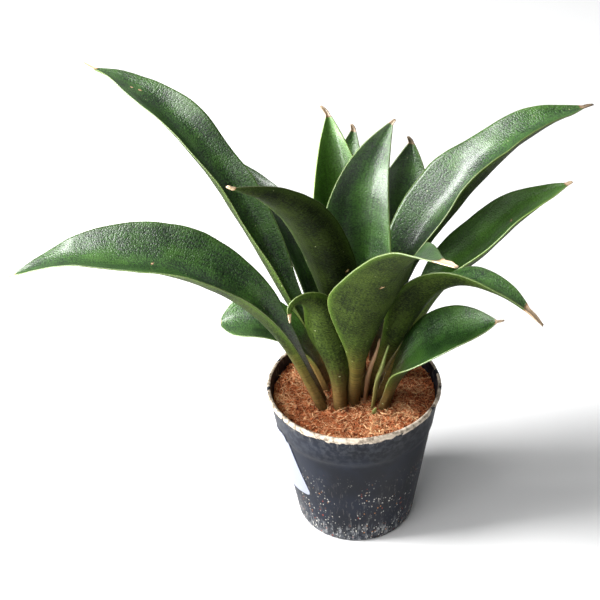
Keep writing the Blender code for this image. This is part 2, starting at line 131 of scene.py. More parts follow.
# root: where the stalk leaves the coir.  heading: the way it leans, in degrees from +X toward +Y.
# spine: reach along the heading, height above the coir, and where a third number stands, the
# sideways drift.  roll: turn about the spine from root to tip.  fold: slope of the two halves.
# blade: half width at its widest.  flare and widest: shares of the length where the stalk ends
# and where the blade is widest.  close: how late and bluntly the blade narrows to its point.
# stalk: its half width, 5 where none is given.  wave: rise and fall of the margins.
# tone: darker below 0, a painted shade for leaves in shade, and lighter and yellower above it,
# painted light and glow for lit leaves.
# dry: dead marks as (share of the length, place across from -1 to 1, radius).
# point: the dry end of the leaf, as its length, half width, hook to the side, hook upward, and
# how dark it is from 0, tan, to 1, nearly black.
LEAVES = {
    "leaf_left_tall": dict(
        root=(-13, 11), heading=149, blade=21, flare=0.10, widest=0.58, close=2.4,
        spine=[(0, -10), (13, 23), (42, 71), (84, 135), (122, 173), (160, 193), (195, 198)],
        roll=[0, 0], fold=[60, 60, 55, 35, 20],
        wave=1.6, point=(9, 1.1, 0, 2, 0.1), tone=0.0,
        dry=[(0.86, 0.1, 1.0), (0.84, -0.1, 0.8)]),
    "leaf_left_arching": dict(
        root=(-20, -17), heading=184, blade=28, flare=0.15, widest=0.58, close=2.2, stalk=6.2,
        spine=[(-2, -10), (7, 17), (24, 57), (56, 99), (100, 124), (151, 131), (195, 120)],
        roll=[0, -6, -10, -6, 0], fold=[60, 60, 48, 32, 22],
        wave=1.0, point=(5, 0.9, 0, 0, 0.4), tone=0.0,
        dry=[(0.60, 0.45, 0.9), (0.55, 0.55, 0.7), (0.66, 0.1, 0.6)]),
    # leaf_left_near's low tone is painted shade on its shaded under side.
    "leaf_left_near": dict(
        root=(-6, -4), heading=228, blade=18, flare=0.20, widest=0.54, close=2.2,
        spine=[(0, -10, 0), (6, 50, 2), (15, 103, 5), (29, 143, 6), (53, 177, 4), (92, 204, 0)],
        roll=[20, 30, 35, 35], fold=[60, 45, 28, 25],
        wave=0.8, point=(4, 1.3, 0, 1, 0.1), tone=-0.6,
        dry=[(0.50, 0.6, 1.4)]),
    "leaf_left_behind": dict(
        root=(-13, 29), heading=129, blade=20, flare=0.05, widest=0.38, close=1.6,
        spine=[(0, -10), (18, 48), (36, 78), (60, 99), (92, 115), (120, 121)],
        roll=[0, 0], fold=[60, 45, 30],
        wave=0.8, point=(5, 0.8, 0, 0, 0.4), tone=-0.3, dry=[]),
    "leaf_back_left_drooping": dict(
        root=(-16, 1), heading=176, blade=19, flare=0.26, widest=0.72, close=3.0,
        spine=[(0, -10), (8, 20), (21, 43), (37, 55), (55, 59), (73, 56)],
        roll=[0, -8, -22], fold=[55, 25, 15],
        wave=1.2, point=(0.1, 3.0, 0, 0, 0), tone=0.4, dry=[]),
    # leaf_centre_left's high tone is a painted yellow glow of light through the leaf.
    "leaf_centre_left": dict(
        root=(-3.5, 21), heading=102, blade=25, flare=0.20, widest=0.60, close=1.8,
        spine=[(0, -10, 0), (1, 55, 1), (4, 104, 2), (9, 145, 4), (16, 172, 5), (27, 195, 5)],
        roll=[0, 0], fold=[60, 45, 40],
        wave=0.8, point=(6, 1.3, 4, -1, 0.6), tone=1.0, dry=[]),
    "leaf_centre_back": dict(
        root=(-3, 34), heading=88, blade=20, flare=0.30, widest=0.62, close=1.8,
        spine=[(0, -10, 0), (5, 55, 1), (14, 102, 1), (24, 138, 0), (36, 169, -5)],
        roll=[0, 0], fold=[60, 40, 30],
        wave=0.8, point=(3.5, 1.5, 2, 1, 0.7), tone=-0.1, dry=[]),
    "leaf_centre_broad": dict(
        root=(4, 11), heading=80, blade=28, flare=0.20, widest=0.55, close=1.8,
        spine=[(0, -10, 0), (1, 50, 0), (4, 97, 0), (8, 138, -1), (14, 168, -8), (22, 193, -20)],
        roll=[0, 0], fold=[60, 45, 30],
        wave=0.8, point=(3, 1.0, -1, 0, 0.6), tone=0.0, dry=[]),
    "leaf_back_right": dict(
        root=(15, 30), heading=58, blade=22, flare=0.28, widest=0.68, close=2.2,
        spine=[(0, -10), (8, 38), (24, 82), (36, 114), (46, 142), (50, 158)],
        roll=[0, 20, 30], fold=[60, 40, 35],
        wave=0.8, point=(4, 1.5, 3, 1, 0.9), tone=-0.1, dry=[]),
    "leaf_right_tall": dict(
        root=(14, 8), heading=26, blade=32, flare=0.15, widest=0.56, close=2.1,
        spine=[(0, -10), (9, 46), (29, 95), (61, 132), (103, 163), (163, 176)],
        roll=[0, -8, -12, -6], fold=[60, 48, 38, 32],
        wave=1.6, point=(8, 1.7, 1, -1, 0.8), tone=0.2, dry=[]),
    # leaf_right_middle's high tone is painted light, lifting it out of the shade of
    # leaf_right_tall.
    "leaf_right_middle": dict(
        root=(12.5, -9.5), heading=20, blade=24, flare=0.27, widest=0.64, close=2.4,
        spine=[(0, -10), (6, 10), (26, 50), (51, 86), (75, 104), (114, 131), (139, 141)],
        roll=[0, -10, -10, 0], fold=[60, 50, 36, 30],
        wave=0.8, point=(4, 1.6, 0, 0, 0.1), tone=1.0,
        dry=[(0.78, 0.0, 0.8), (0.70, 0.3, 0.6)]),
    "leaf_right_drooping": dict(
        root=(3.5, -5.5), heading=338, blade=19, flare=0.22, widest=0.62, close=2.4,
        spine=[(0, -10), (5, 9), (26, 55), (46, 94), (70, 111), (102, 105), (122, 92)],
        roll=[-20, -42, -28, 0], fold=[60, 50, 38, 30],
        wave=0.8, point=(13, 2.2, 0, -1, 0.4), tone=0.0, dry=[]),
    "leaf_front_broad": dict(
        root=(-1, -15), heading=295, blade=30, flare=0.17, widest=0.54, close=1.4,
        spine=[(0, -10), (1, 3), (9, 40), (19, 70), (36, 106), (56, 141), (86, 170), (125, 187)],
        roll=[0, 0, 0], fold=[60, 42, 28, 22],
        wave=1.0, point=(13, 2.6, 2, -1, 0.0), tone=0.0,
        dry=[(0.62, 0.5, 0.9), (0.60, -0.1, 0.8), (0.22, 1.0, 1.6), (0.26, 1.0, 1.4),
             (0.18, 1.0, 1.2)]),
    "leaf_front_curled": dict(
        root=(-9, -20), heading=212, blade=15, flare=0.15, widest=0.55, close=2.0,
        spine=[(0, -10), (5, 43), (12, 71), (21, 97), (33, 101), (36, 88)],
        roll=[20, 50, 40], fold=[60, 45, 30],
        wave=0.8, point=(6, 1.3, 0, 0, 0.0), tone=0.1,
        dry=[(0.93, -1.0, 1.6), (0.96, -1.0, 1.4)]),
    "leaf_right_low": dict(
        root=(19, -18.5), heading=333, blade=25, flare=0.16, widest=0.60, close=2.0,
        spine=[(0, -10), (2, 5), (12, 33), (24, 51), (41, 70), (61, 86), (81, 99)],
        roll=[0, 18, 26], fold=[55, 32, 22],
        wave=1.0, point=(5, 0.9, 0, 0, 0.8), tone=-0.1, dry=[]),
}

# Bud sheaths and the young shoot, in the same terms.
SHEATHS = {
    "sheath_left": dict(
        root=(-7, -14), heading=200, blade=1.8, flare=0.05, widest=0.30, close=1.6, stalk=1.7,
        spine=[(0, -8), (1, 20), (2, 40), (3, 55)], roll=[0, 0], fold=[50, 40]),
    "sheath_tall": dict(
        root=(7, -15.5), heading=335, blade=2.6, flare=0.05, widest=0.55, close=1.8, stalk=1.6,
        spine=[(0, -8), (3, 26), (8, 48), (11, 60)], roll=[0, 0], fold=[50, 40]),
    "sheath_green": dict(
        root=(11, -20), heading=350, blade=2.6, flare=0.05, widest=0.45, close=1.6, stalk=1.8,
        spine=[(0, -8), (3, 14), (8, 40), (12, 56)], roll=[0, 0], fold=[50, 40]),
    "shoot_young": dict(
        root=(13, -25), heading=300, blade=2.6, flare=0.05, widest=0.40, close=1.8, stalk=2.2,
        spine=[(0, -8), (0, 0), (1, 4), (3, 8)], roll=[0, 0], fold=[50, 40]),
}


# ---- shader tools ---------------------------------------------------------------------------
class Value:
    """An output socket: arithmetic on it adds Math nodes to its tree."""

    def __init__(self, paint, socket):
        self.paint = paint
        self.socket = socket

    def math(self, operation, *others):
        """A Math node on this value and the others."""
        values = {i: v for i, v in enumerate((self, *others))}
        return self.paint.node("ShaderNodeMath", dict(operation=operation), values)

    def __add__(self, other):
        return self.math("ADD", other)

    def __radd__(self, other):
        return self.math("ADD", other)

    def __sub__(self, other):
        return self.math("SUBTRACT", other)

    def __rsub__(self, other):
        return self.paint.node("ShaderNodeMath", dict(operation="SUBTRACT"), {0: other, 1: self})

    def __mul__(self, other):
        return self.math("MULTIPLY", other)

    def __rmul__(self, other):
        return self.math("MULTIPLY", other)

    def low(self, other):
        return self.math("MINIMUM", other)

    def between(self, start, end):
        """0 at start, 1 at end, smooth and held outside them."""
        node = self.paint.node("ShaderNodeMapRange", dict(interpolation_type="SMOOTHSTEP"),
                               {0: self, 1: min(start, end), 2: max(start, end)})
        return node if start < end else 1 - node


class Nodes:
    """A node tree and the one method that adds to it, with short forms of it."""

    def __init__(self, tree):
        self.tree = tree

    def plug(self, socket, value):
        """Link a value to a socket, or set it there."""
        if isinstance(value, Value):
            self.tree.links.new(value.socket, socket)
        elif hasattr(socket.default_value, "__len__") and not hasattr(value, "__len__"):
            socket.default_value = [value] * len(socket.default_value)
        elif hasattr(value, "__len__") and len(value) < len(socket.default_value):
            socket.default_value = (*value, 1.0)
        else:
            socket.default_value = value

    def node(self, kind, settings, values, output=0):
        """Any node: its settings first, then the values or links of its sockets."""
        node = self.tree.nodes.new(kind)
        for key, setting in settings.items():
            setattr(node, key, setting)
        for key, value in values.items():
            self.plug(node.inputs[key], value)
        return Value(self, node.outputs[output])

    def attribute(self, name):
        """A number that set_attribute put on the mesh."""
        return self.node("ShaderNodeAttribute", dict(attribute_name=name), {}, "Fac")

    def place(self):
        """Where a point is on the object, in metres."""
        return self.node("ShaderNodeTexCoord", {}, {}, "Object")

    def stretched(self, vector, scale):
        """A vector with each axis multiplied."""
        return self.node("ShaderNodeVectorMath", dict(operation="MULTIPLY"),
                         {0: vector, 1: scale})

    def axis(self, vector, name):
        """One of X, Y and Z of a vector."""
        return self.node("ShaderNodeSeparateXYZ", {}, {0: vector}, name)

    def noise(self, vector, scale, detail=2.0, rough=0.5):
        """Smooth noise of 0 to 1."""
        return self.node("ShaderNodeTexNoise", {},
                         {"Vector": vector, "Scale": scale, "Detail": detail, "Roughness": rough})

    def wobble(self, vector, scale):
        """Noise as a vector of about -0.5 to 0.5."""
        cloud = self.noise(vector, scale)
        colour = Value(self, cloud.socket.node.outputs["Color"])
        return self.node("ShaderNodeVectorMath", dict(operation="SUBTRACT"),
                         {0: colour, 1: (0.5, 0.5, 0.5)})

    def dots(self, vector, scale):
        """Distance to the nearest of many scattered points, and that point's own
        chance, 0 to 1."""
        cells = self.node("ShaderNodeTexVoronoi", {},
                          {"Vector": vector, "Scale": scale}, "Distance")
        colour = Value(self, cells.socket.node.outputs["Color"])
        return cells, self.axis(colour, "X")

    def mix(self, share, first, second, blend="MIX"):
        """The first colour at share 0 and the second at 1."""
        node = self.tree.nodes.new("ShaderNodeMix")
        node.data_type = "RGBA"
        node.blend_type = blend
        self.plug(node.inputs["Factor"], share)
        for key, value in ((6, first), (7, second)):
            self.plug(node.inputs[key], value)
        return Value(self, node.outputs[2])

    def ramp(self, share, *colours):
        """Colours along a ramp, as (place, colour)."""
        node = self.tree.nodes.new("ShaderNodeValToRGB")
        points = node.color_ramp.elements
        while len(points) < len(colours):
            points.new(0.5)
        for point, (where, colour) in zip(points, colours):
            point.position = where
            point.color = (*colour, 1.0)
        self.plug(node.inputs[0], share)
        return Value(self, node.outputs[0])

    def bump(self, height):
        """A bump whose height is in mm."""
        return self.node("ShaderNodeBump", {}, {"Height": height, "Strength": 1.0, "Distance": MM})


class Paint(Nodes):
    """A Principled material and the nodes that feed it."""

    def __init__(self, name, **constants):
        self.material = bpy.data.materials.new(name)
        self.material.use_nodes = True
        super().__init__(self.material.node_tree)
        self.shader = self.tree.nodes["Principled BSDF"]
        for socket, value in constants.items():
            self.shader.inputs[socket.replace("_", " ")].default_value = value

    def finish(self, **sockets):
        """Feed the shader's sockets, and give the material."""
        for socket, value in sockets.items():
            self.plug(self.shader.inputs[socket.replace("_", " ")], value)
        return self.material


def srgb(red, green, blue):
    """A screen colour of 0 to 255 as a linear one."""
    def linear(value):
        value /= 255.0
        return value / 12.92 if value <= 0.04045 else ((value + 0.055) / 1.055) ** 2.4
    return tuple(linear(value) for value in (red, green, blue))


# ---- materials ------------------------------------------------------------------------------
def leaf_skin(name, under):
    """Leathery leaf with a pale margin line, partly its own pale edge and partly a painted rim
    highlight, a brownish stalk and a dry point.  The upper side is dark, mottled and glossy;
    the under side is olive and dull, and yellower at the margins, a painted glow of light through
    them."""
    if under:
        paint = Paint(name, Specular_IOR_Level=0.09, IOR=1.45)
    else:
        paint = Paint(name, Specular_IOR_Level=0.9, IOR=1.45, Coat_Weight=0.5,
                      Coat_Roughness=0.22)
    uv = paint.node("ShaderNodeUVMap", dict(uv_map="skin"), {})
    edge, stalk = paint.attribute("edge"), paint.attribute("stalk")
    dry, burnt, tone = (paint.attribute(n) for n in ("dry", "burnt", "tone"))
    height = paint.axis(paint.place(), "Z")
    bands = paint.noise(paint.stretched(uv, (520, 110, 0)), 1.0, 3.0, 0.6)
    blotch = paint.noise(paint.place(), 55.0, 3.0)
    grain = paint.noise(paint.stretched(uv, (980, 700, 0)), 1.0, 3.0, 0.7)
    pores, _ = paint.dots(paint.stretched(uv, (900, 640, 0)), 1.0)
    veins = paint.noise(paint.stretched(uv, (16, 700, 0)), 1.0, 2.0)

    mottle = (bands * 0.14 + blotch * 0.24 + grain * 0.52 + veins * 0.12).between(0.42, 0.62)
    if under:
        blade = paint.mix(mottle, srgb(18, 28, 6), srgb(60, 76, 26))
        # Painted glow: the under side turns yellow-green toward its margins, standing in for light
        # shining through the thin edges.
        blade = paint.mix(edge.between(5.0, 0.4) * 0.32, blade, srgb(84, 116, 36))
    else:
        blade = paint.mix(mottle, srgb(8, 32, 8), srgb(62, 104, 40))
        # Yellow-green toward the margins and in blotches, and through tone a painted yellow glow
        # of light through lit leaves.
        yellowing_and_painted_glow = (edge.between(5.0, 0.4) * 0.22 + blotch.between(0.45, 0.75) * 0.22
                  + tone.between(0.4, 1.0) * 0.3)
        blade = paint.mix(yellowing_and_painted_glow, blade, srgb(78, 116, 34))

    rings = paint.noise(paint.stretched(uv, (1100, 60, 0)), 1.0, 2.0).between(0.35, 0.7)
    petiole = paint.mix(rings * 0.6 + grain * 0.4, srgb(46, 48, 16), srgb(104, 96, 40))
    petiole = paint.mix(blotch.between(0.45, 0.70) * 0.6, petiole, srgb(92, 62, 30))
    skin = paint.mix(stalk * 0.9, blade, petiole)
    bare = (height + blotch * 0.030).between(0.172, 0.122)
    skin = paint.mix(bare * 0.85 * (0.6 + rings * 0.4), skin, srgb(98, 70, 42))

    # Pale margin line: partly the leaf's own pale edge, partly a painted rim highlight where the
    # edge catches light.
    margin_line_and_rim_highlight = edge.between(0.40, 0.12) * (1 - stalk)
    skin = paint.mix(margin_line_and_rim_highlight * (0.4 if under else 0.3), skin, srgb(150, 160, 92))
    # Painted light and shade: each leaf's tone scales its colour, from 0.4 for a leaf in shade to
    # 1.6 for a lit one.
    shade = paint.mix(tone.between(-1.0, 1.0), (0.40, 0.40, 0.40), (1.6, 1.6, 1.6))
    skin = paint.mix(1.0, skin, shade, "MULTIPLY")
    spot, chance = paint.dots(paint.stretched(uv, (170, 170, 0)), 1.0)
    speck = spot.between(0.10, 0.04) * chance.between(0.76, 0.78)
    skin = paint.mix(speck * 0.7, skin, srgb(178, 186, 136))
    dead = paint.ramp((dry + (grain - 0.5) * 0.3).low(1.0), (0.0, srgb(92, 66, 40)),
                      (0.45, srgb(150, 112, 74)), (0.8, srgb(222, 192, 156)))
    dead = paint.mix(burnt, dead, paint.mix(grain, srgb(34, 26, 14), srgb(96, 76, 44)))
    skin = paint.mix((dry + (grain - 0.5) * 0.4).between(0.25, 0.45), skin, dead)

    rough = 0.26 + grain * 0.20 + dry * 0.35
    if under:
        rough = rough + 0.26
    relief = bands * 0.08 + grain * 0.32 + veins * 0.06 + pores.between(0.0, 0.7) * 0.16
    return paint.finish(Base_Color=skin, Roughness=rough, Normal=paint.bump(relief))


def coir_paint(name, dark, light):
    """Coconut fibre; tone runs from 0, dark, to 1, light."""
    paint = Paint(name, Specular_IOR_Level=0.25)
    tone = paint.attribute("tone")
    fine = paint.noise(paint.place(), 900.0, 3.0)
    patch = paint.noise(paint.place(), 60.0, 2.0)
    share = tone * 0.85 + (fine - 0.5) * 0.8 + (patch - 0.5) * 1.0 + 0.07
    colour = paint.ramp(share, (0.0, dark), (0.42, srgb(188, 106, 62)), (1.0, light))
    return paint.finish(Base_Color=colour, Roughness=0.85, Normal=paint.bump(fine * 0.25))


def pot_paint():
    """Dark moulded plastic with a lime crust on the rim and specks lower down."""
    paint = Paint("pot_plastic", Specular_IOR_Level=0.13)
    place = paint.place()
    height = paint.axis(place, "Z")
    crust = paint.attribute("crust")
    cloud = paint.noise(place, 38.0, 3.0)
    fine = paint.noise(place, 900.0, 3.0, 0.6)
    middle = paint.noise(place, 260.0, 3.0, 0.6)
    body = paint.mix(cloud.between(0.35, 0.7), srgb(6, 10, 20), srgb(17, 23, 36))
    dust = height.between(0.020, 0.0) * 0.35 + height.between(0.075, 0.105) * 0.12
    body = paint.mix(dust * middle.between(0.4, 0.65), body, srgb(122, 126, 132))

    specks = body
    ragged_place = paint.node("ShaderNodeVectorMath", dict(operation="ADD"),
                              {0: place, 1: paint.stretched(paint.wobble(place, 700.0), 0.0012)})
    low, foot = height.between(0.074, 0.040), height.between(0.024, 0.004)
    for scale, size, odds, zone, colour in (
            (620.0, 0.15, 0.62, 0.44, srgb(176, 174, 168)),
            (430.0, 0.12, 0.74, 0.46, srgb(198, 194, 184)),
            (520.0, 0.13, 0.82, 0.50, srgb(170, 116, 66)),
            (480.0, 0.15, 0.86, 0.52, srgb(146, 62, 38))):
        spot, chance = paint.dots(paint.stretched(ragged_place, (1, 1, 0.6)), scale)
        area = paint.noise(place, 46.0 + scale * 0.02, 2.0).between(zone, zone + 0.12)
        share = spot.between(size * 2.4, size) * chance.between(odds, odds + 0.01)
        specks = paint.mix((share * (area * low + foot * 0.8) * 0.85).low(1.0), specks, colour)
    scuff = paint.noise(paint.stretched(place, (420, 420, 60)), 1.0, 4.0, 0.7)
    specks = paint.mix(scuff.between(0.50, 0.66) * foot * 0.75, specks, srgb(160, 162, 164))
    scale_marks = height.between(0.100, 0.108) * 0.35 + low * 0.12
    specks = paint.mix(scuff.between(0.56, 0.66) * scale_marks, specks, srgb(150, 146, 140))
    lime = paint.mix(middle.between(0.35, 0.62), srgb(122, 110, 96), srgb(208, 194, 176))
    ragged = (crust + (middle - 0.5) * 0.85 + (fine - 0.5) * 0.5).between(0.46, 0.54)
    colour = paint.mix(ragged, specks, lime)
    rough = 0.46 + ragged * 0.4 + (cloud - 0.5) * 0.12
    relief = ragged * 0.18 + fine * 0.02 + middle * 0.03
    return paint.finish(Base_Color=colour, Roughness=rough, Normal=paint.bump(relief))


def label_paint():
    """Bare white sticker, its paper coloured bluish grey as painted shade."""
    paint = Paint("label_paper", Specular_IOR_Level=0.45)
    place = paint.place()
    stain = paint.noise(place, 70.0, 3.0).between(0.5, 0.8)
    fibre = paint.noise(place, 1400.0, 2.0)
    # Painted shade: the white paper is given a bluish grey well below white, as it looks in shade.
    colour = paint.mix(stain * 0.15, srgb(128, 132, 146), srgb(118, 120, 128))
    return paint.finish(Base_Color=colour, Roughness=0.42 + fibre * 0.1,
                        Normal=paint.bump(fibre * 0.015))


def scale_paint(name, base, tip):
    """Papery bud scale, darker at the foot, streaked along its length."""
    paint = Paint(name, Specular_IOR_Level=0.3)
    uv = paint.node("ShaderNodeUVMap", dict(uv_map="skin"), {})
    share = paint.attribute("share")
    streak = paint.noise(paint.stretched(uv, (120, 2600, 0)), 1.0, 2.0)
    colour = paint.mix(share.between(0.2, 0.9), base, tip)
    colour = paint.mix(streak.between(0.35, 0.75) * 0.5, colour, srgb(96, 66, 42))
    return paint.finish(Base_Color=colour, Roughness=0.62, Normal=paint.bump(streak * 0.12))


def floor_paint():
    """Pale matt paper under the pot."""
    paint = Paint("floor", Specular_IOR_Level=0.1)
    return paint.finish(Base_Color=(0.86, 0.86, 0.86), Roughness=0.9)


# ---- modelling tools ------------------------------------------------------------------------
def start():
    """Nothing selected, and object mode."""
    if bpy.context.object and bpy.context.object.mode != "OBJECT":
        bpy.ops.object.mode_set(mode="OBJECT")
    bpy.ops.object.select_all(action="DESELECT")


def apply_modifiers(obj):
    """Apply all of a piece's modifiers, in their order."""
    start()
    bpy.context.view_layer.objects.active = obj
    obj.select_set(True)
    for modifier in list(obj.modifiers):
        bpy.ops.object.modifier_apply(modifier=modifier.name)


def settle(obj, name, material, slot, *nodes):
    """Name a finished piece, paint it, and tie it to the body and its CAD nodes.  The slot is not
    used.
    """
    obj.name = name
    obj.data.name = name
    if material:
        obj.data.materials.append(material)
    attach(obj, "root")
    if nodes:
        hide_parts(*nodes)
    return obj


def points_of(obj):
    """The vertices' places in mm."""
    flat = np.empty(len(obj.data.vertices) * 3)
    obj.data.vertices.foreach_get("co", flat)
    return flat.reshape(-1, 3) / MM


def grid(rows, columns):
    """A flat grid primitive, with the row and column of each vertex."""
    start()
    bpy.ops.mesh.primitive_grid_add(x_subdivisions=rows, y_subdivisions=columns, size=2.0)
    obj = bpy.context.object
    flat = points_of(obj) * MM
    row = np.rint((flat[:, 0] + 1) / 2 * rows).astype(int)
    column = np.rint((flat[:, 1] + 1) / 2 * columns).astype(int)
    return obj, row, column


def set_points(obj, points):
    """Move all the vertices; points are in mm."""
    obj.data.vertices.foreach_set("co", (np.asarray(points) * MM).ravel())
    obj.data.update()


def new_mesh(name, points, faces):
    """An object made from points in mm and the faces between them."""
    mesh = bpy.data.meshes.new(name)
    mesh.from_pydata(points * MM, [], faces)
    obj = bpy.data.objects.new(name, mesh)
    bpy.context.scene.collection.objects.link(obj)
    return obj


def set_attribute(obj, name, values):
    """A number for each vertex, which a material reads."""
    layer = obj.data.attributes.new(name, "FLOAT", "POINT")
    layer.data.foreach_set("value", np.asarray(values, float))


def rough_field(points, size, octaves=2):
    """Smooth noise of about -1 to 1 at each point, with lumps of that size in mm."""
    result = np.zeros(len(points))
    for octave in range(octaves):
        step = size / 2 ** octave
        result += np.array([noise.noise(Vector(p / step + 7.3 * octave)) for p in points]) \
            / 2 ** octave
    return result


# ---- leaves ---------------------------------------------------------------------------------
def natural_spline(points):
    """A smooth curve through the points, as a function of distance along their chords."""
    points = np.asarray(points, float)
    count = len(points)
    knots = np.concatenate([[0], np.cumsum(np.linalg.norm(np.diff(points, axis=0), axis=1))])
    step = np.diff(knots)
    matrix = np.eye(count)
    right = np.zeros_like(points)
    for i in range(1, count - 1):
        matrix[i, i - 1:i + 2] = step[i - 1], 2 * (step[i - 1] + step[i]), step[i]
        right[i] = 6 * ((points[i + 1] - points[i]) / step[i]
                        - (points[i] - points[i - 1]) / step[i - 1])
    curve = np.linalg.solve(matrix, right)

    def at(x):
        i = np.clip(np.searchsorted(knots, x, side="right") - 1, 0, count - 2)
        h = step[i][:, None]
        a = (knots[i + 1] - x)[:, None] / h
        b = 1 - a
        bend = ((a ** 3 - a) * curve[i] + (b ** 3 - b) * curve[i + 1]) * h ** 2 / 6
        return a * points[i] + b * points[i + 1] + bend

    return at, knots[-1]


def along_spine(spec, shares):
    """Points on the spine at shares of its length, the unit vectors sideways and upwards there,
    and its length, in mm."""
    heading = math.radians(spec["heading"])
    out = np.array([math.cos(heading), math.sin(heading), 0.0])
    aside = np.array([-math.sin(heading), math.cos(heading), 0.0])
    root = np.array([*spec["root"], SOIL_LEVEL])
    rows = [(*p, 0)[:3] for p in spec["spine"]]
    points = [root + r * out + h * np.array([0, 0, 1.0]) + s * aside for r, h, s in rows]
    at, total = natural_spline(points)
    fine = np.linspace(0, total, 600)
    path = at(fine)
    arc = np.concatenate([[0], np.cumsum(np.linalg.norm(np.diff(path, axis=0), axis=1))])
    place = [np.interp(np.clip(shares + d, 0, 1) * arc[-1], arc, fine) for d in (-.004, 0, .004)]
    before, here, after = (at(x) for x in place)
    forward = after - before
    forward /= np.linalg.norm(forward, axis=1)[:, None]
    side = aside - (forward @ aside)[:, None] * forward
    side /= np.linalg.norm(side, axis=1)[:, None]
    upper = np.cross(forward, side)
    return here, side, upper, arc[-1]


def stops(values, shares):
    """A smooth run through equally spaced values."""
    values = np.asarray(values, float)
    places = np.linspace(0, 1, len(values))
    slope = np.gradient(values, places)
    i = np.clip((shares * (len(values) - 1)).astype(int), 0, len(values) - 2)
    h = places[1]
    u = (shares - places[i]) / h
    return ((2 * u ** 3 - 3 * u ** 2 + 1) * values[i] + (u ** 3 - 2 * u ** 2 + u) * h * slope[i]
            + (3 * u ** 2 - 2 * u ** 3) * values[i + 1] + (u ** 3 - u ** 2) * h * slope[i + 1])


def smooth(x, start, end):
    """0 at start and 1 at end, smooth between."""
    u = np.clip((x - start) / (end - start), 0, 1)
    return u * u * (3 - 2 * u)


def half_width(spec, shares, spur, point):
    """Half width: the stalk, the blade's swelling, the closing and the thin dry point."""
    stalk = spec.get("stalk", 5.0)
    reach = shares / (1 - spur)
    rise = smooth(reach, spec["flare"], spec["widest"])
    close = 1 - np.clip((reach - spec["widest"]) / (1 - spec["widest"]), 0, 1) ** spec["close"]
    width = (stalk + (spec["blade"] - stalk) * rise) * close + point * (1 - close)
    return width * (1 - 0.6 * smooth(shares, 1 - spur * 0.6, 1.0))


def section(fold, across):
    """A rounded V: sideways and upward share of the half width at each place across."""
    size = np.abs(across)
    near = np.minimum(size, BEND)
    rest = np.maximum(size - BEND, 0)
    side = BEND / fold * np.sin(fold * near / BEND) + rest * np.cos(fold)
    up = BEND / fold * (1 - np.cos(fold * near / BEND)) + rest * np.sin(fold)
    return side * np.sign(across), up


def leaf_thickness(spec, share, across):
    """Thickness in mm: a fleshy keel and stalk, thin margins."""
    stalk = spec.get("stalk", 5.0)
    thick_stalk = STALK_THICK * min(1.0, stalk / 5.0)
    thick_blade = min(BLADE_THICK, thick_stalk)
    blend = np.clip((share - spec["flare"]) / 0.3, 0, 1)
    keel = thick_stalk + (thick_blade - thick_stalk) * blend
    keel = keel + (MARGIN_THICK - keel) * np.clip((share - 0.75) / 0.25, 0, 1)
    return keel + (MARGIN_THICK - keel) * np.abs(across) ** 1.8


